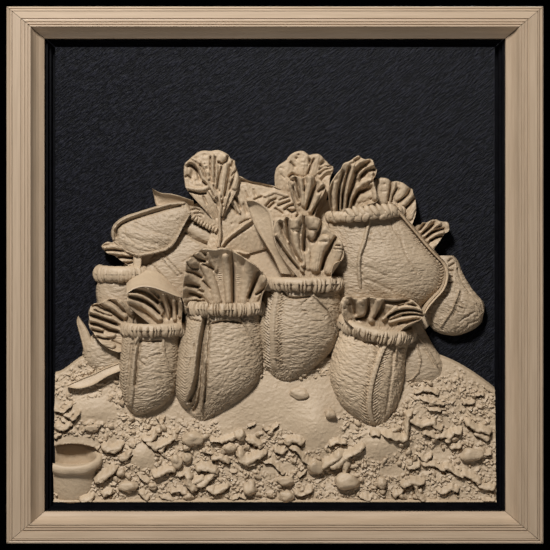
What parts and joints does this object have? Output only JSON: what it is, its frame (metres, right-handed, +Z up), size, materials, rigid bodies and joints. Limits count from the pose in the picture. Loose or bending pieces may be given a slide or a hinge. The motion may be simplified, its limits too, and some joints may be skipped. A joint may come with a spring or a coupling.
{
  "type": "framed relief wall plaque",
  "caption": "Square wall plaque: a moulded tan frame with a black stepped slip round a dark panel that carries a tan bas-relief of pitcher plants growing in gravelly soil beside a small pot.",
  "frame": {"origin": "centre of the back of the backing board, on the wall", "axes": "+Z up, +X to the viewer's right, +Y into the wall, so the front faces -Y"},
  "size_m": [0.3, 0.0367, 0.3],
  "materials": {
    "frame_tan": "satin tan paint on moulded wood",
    "slip_black": "satin black paint",
    "panel_dark": "brushed blue-black paint on board",
    "relief_tan": "matt tan cast resin with an even, clay-like surface",
    "backing_brown": "bare hardboard",
    "fixing_steel": "zinc-plated"
  },
  "bodies": {
    "root": {"frame_rail_top": "frame_tan", "frame_rail_bottom": "frame_tan", "frame_rail_left": "frame_tan", "frame_rail_right": "frame_tan", "slip_top": "slip_black", "slip_bottom": "slip_black", "slip_left": "slip_black", "slip_right": "slip_black", "panel": "panel_dark", "relief": "relief_tan", "backing_board": "backing_brown", "backing_screw_1": "fixing_steel", "backing_screw_2": "fixing_steel", "backing_screw_3": "fixing_steel", "backing_screw_4": "fixing_steel", "backing_screw_5": "fixing_steel", "backing_screw_6": "fixing_steel", "backing_screw_7": "fixing_steel", "backing_screw_8": "fixing_steel", "hanger": "fixing_steel", "hanger_nail_left": "fixing_steel", "hanger_nail_right": "fixing_steel"}
  },
  "joints": []
}
